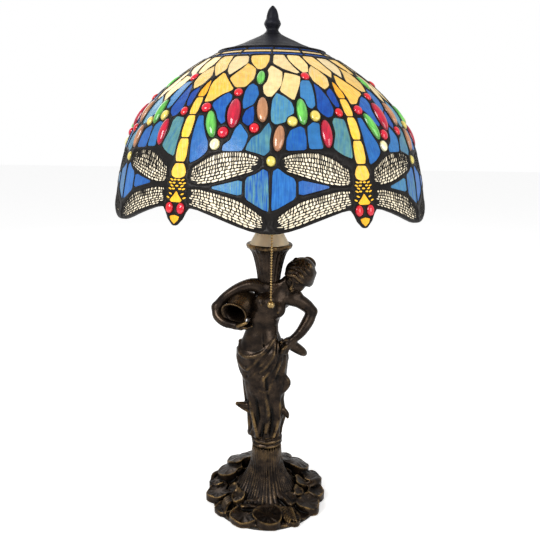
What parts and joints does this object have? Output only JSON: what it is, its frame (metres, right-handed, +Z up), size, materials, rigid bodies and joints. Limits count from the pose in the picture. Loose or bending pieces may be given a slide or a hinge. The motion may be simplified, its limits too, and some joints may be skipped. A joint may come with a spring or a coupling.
{
  "type": "stained glass table lamp",
  "caption": "Table lamp with a domed leaded glass shade on a cast figure and leafed foot, two lamp holders and a pull chain switch.",
  "frame": {"origin": "centre of the base where it stands on the table", "axes": "+Z up along the lamp tube, -Y to the front of the figure, +X to the side that the figure's head leans to"},
  "size_m": [0.4058, 0.407, 0.6951],
  "materials": {
    "felt": "matte felt",
    "cast_iron": "raw casting",
    "bronze": "dark bronze patina, rubbed on the high spots",
    "brass": "aged brass",
    "steel": "zinc plated",
    "cone_metal": "brushed champagne",
    "switch_case": "black phenolic",
    "insulator": "porcelain",
    "rubber": "matte",
    "art_glass": "opalescent streaked glass",
    "lead": "dark patina solder",
    "bulb_glass": "frosted",
    "bulb_cap": "satin"
  },
  "bodies": {
    "base": {"felt_pad": "felt", "ballast_plate": "cast_iron", "foot_casting": "bronze", "cord_bushing": "rubber", "rod_washer": "steel", "rod_nut": "steel", "lamp_rod": "brass", "collar_ring": "bronze", "figure_body": "bronze", "figure_head": "bronze", "figure_arm_right": "bronze", "figure_arm_left": "bronze", "water_jug": "bronze", "drapery_sash": "bronze", "fluted_cup": "bronze", "cone_cap": "cone_metal", "cluster_body": "brass", "switch_nipple": "brass", "switch_housing": "switch_case", "switch_bell": "brass", "riser_tube": "brass", "riser_lock_nut": "brass", "seat_washer": "brass", "arm_nipple_left": "brass", "holder_cap_left": "brass", "holder_shell_left": "brass", "holder_insulator_left": "insulator", "screw_shell_left": "brass", "center_contact_left": "brass", "arm_nipple_right": "brass", "holder_cap_right": "brass", "holder_shell_right": "brass", "holder_insulator_right": "insulator", "screw_shell_right": "brass", "center_contact_right": "brass"},
    "shade": {"shade_glass": "art_glass", "rim_came": "lead", "shoulder_ring": "lead", "crown_glass": "art_glass", "aperture_ring": "brass", "shade_spider": "brass", "heat_cap": "bronze"},
    "finial": {"finial": "bronze"},
    "switch_plunger": {"switch_slider": "brass"},
    "chain": {"pull_chain": "brass", "chain_ball": "brass"},
    "bulb_left": {"bulb_base_left": "bulb_cap", "bulb_glass_left": "bulb_glass"},
    "bulb_right": {"bulb_base_right": "bulb_cap", "bulb_glass_right": "bulb_glass"}
  },
  "joints": [
    {"name": "shade_turn", "type": "hinge", "parent": "base", "child": "shade", "pos_m": [0, 0, 0.6283], "axis": [0, 0, 1], "continuous": true},
    {"name": "finial_turn", "type": "hinge", "parent": "base", "child": "finial", "pos_m": [0, 0, 0.6616], "axis": [0, 0, 1], "continuous": true},
    {"name": "switch_pull", "type": "slide", "parent": "base", "child": "switch_plunger", "axis": [0, 0, -1], "range_m": [0, 0.008], "stiffness_N_per_m": 300, "springref_m": -0.004},
    {"name": "chain_swing", "type": "hinge", "parent": "switch_plunger", "child": "chain", "pos_m": [0.003, -0.042, 0.4365], "axis": [0, 1, 0], "range_deg": [-20, 20]},
    {"name": "bulb_left_screw", "type": "hinge", "parent": "base", "child": "bulb_left", "pos_m": [0, 0, 0.4415], "axis": [-0.9397, 0, 0.342], "continuous": true},
    {"name": "bulb_right_screw", "type": "hinge", "parent": "base", "child": "bulb_right", "pos_m": [0, 0, 0.4415], "axis": [0.9397, 0, 0.342], "continuous": true}
  ]
}
